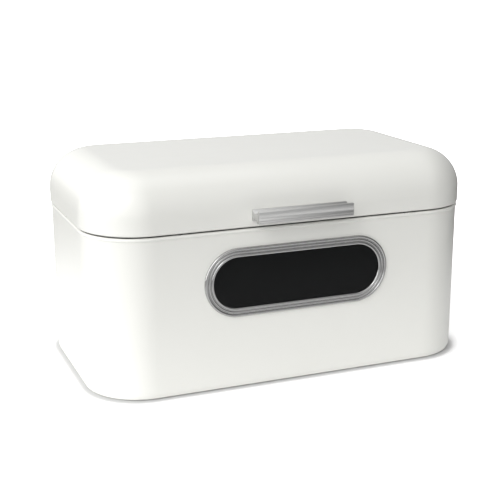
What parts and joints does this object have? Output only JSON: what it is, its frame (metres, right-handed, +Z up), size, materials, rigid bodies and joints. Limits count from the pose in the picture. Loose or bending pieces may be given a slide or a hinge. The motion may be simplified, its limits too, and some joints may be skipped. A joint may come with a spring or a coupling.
{
  "type": "bread bin",
  "caption": "Rounded sheet-steel bread bin with a domed lid on rear hinges, a grooved bar handle and a long round-ended window in a silver bezel.",
  "frame": {"origin": "on the worktop, under the middle of the overall outline with the handle and the hinges included", "axes": "+X to the right seen from the front, +Y to the back where the hinges are, +Z up; the window and the handle face -Y"},
  "size_m": [0.423, 0.2664, 0.225],
  "materials": {
    "coated_steel": "satin off-white powder coat on sheet steel",
    "bezel_silver": "satin silver, ribbed",
    "handle_aluminium": "brushed and anodised, lengthwise grain",
    "smoked_pane": "clear smoked acrylic, glossy",
    "black_rubber": "matt",
    "black_plastic": "fine moulded texture",
    "plated_steel": "bright zinc plate",
    "grey_silicone": "matt dark grey"
  },
  "bodies": {
    "body": {"body_shell": "coated_steel", "base_pan": "coated_steel", "foot_front_left": "black_rubber", "foot_front_right": "black_rubber", "foot_rear_left": "black_rubber", "foot_rear_right": "black_rubber", "window_frame": "bezel_silver", "window_pane": "smoked_pane", "window_gasket": "black_rubber", "window_retainer": "black_plastic", "window_screws": "plated_steel", "hinge_left_body_leaf": "plated_steel", "hinge_right_body_leaf": "plated_steel", "hinge_left_pin": "plated_steel", "hinge_right_pin": "plated_steel", "body_rivets": "plated_steel"},
    "lid": {"lid_shell": "coated_steel", "handle": "handle_aluminium", "handle_screws": "plated_steel", "handle_washers": "plated_steel", "lid_pads": "grey_silicone", "hinge_left_lid_leaf": "plated_steel", "hinge_right_lid_leaf": "plated_steel", "lid_rivets": "plated_steel"}
  },
  "joints": [
    {"name": "lid_hinge", "type": "hinge", "parent": "body", "child": "lid", "pos_m": [0, 0.12775, 0.16675], "axis": [-1, 0, 0], "range_deg": [0, 100]}
  ]
}
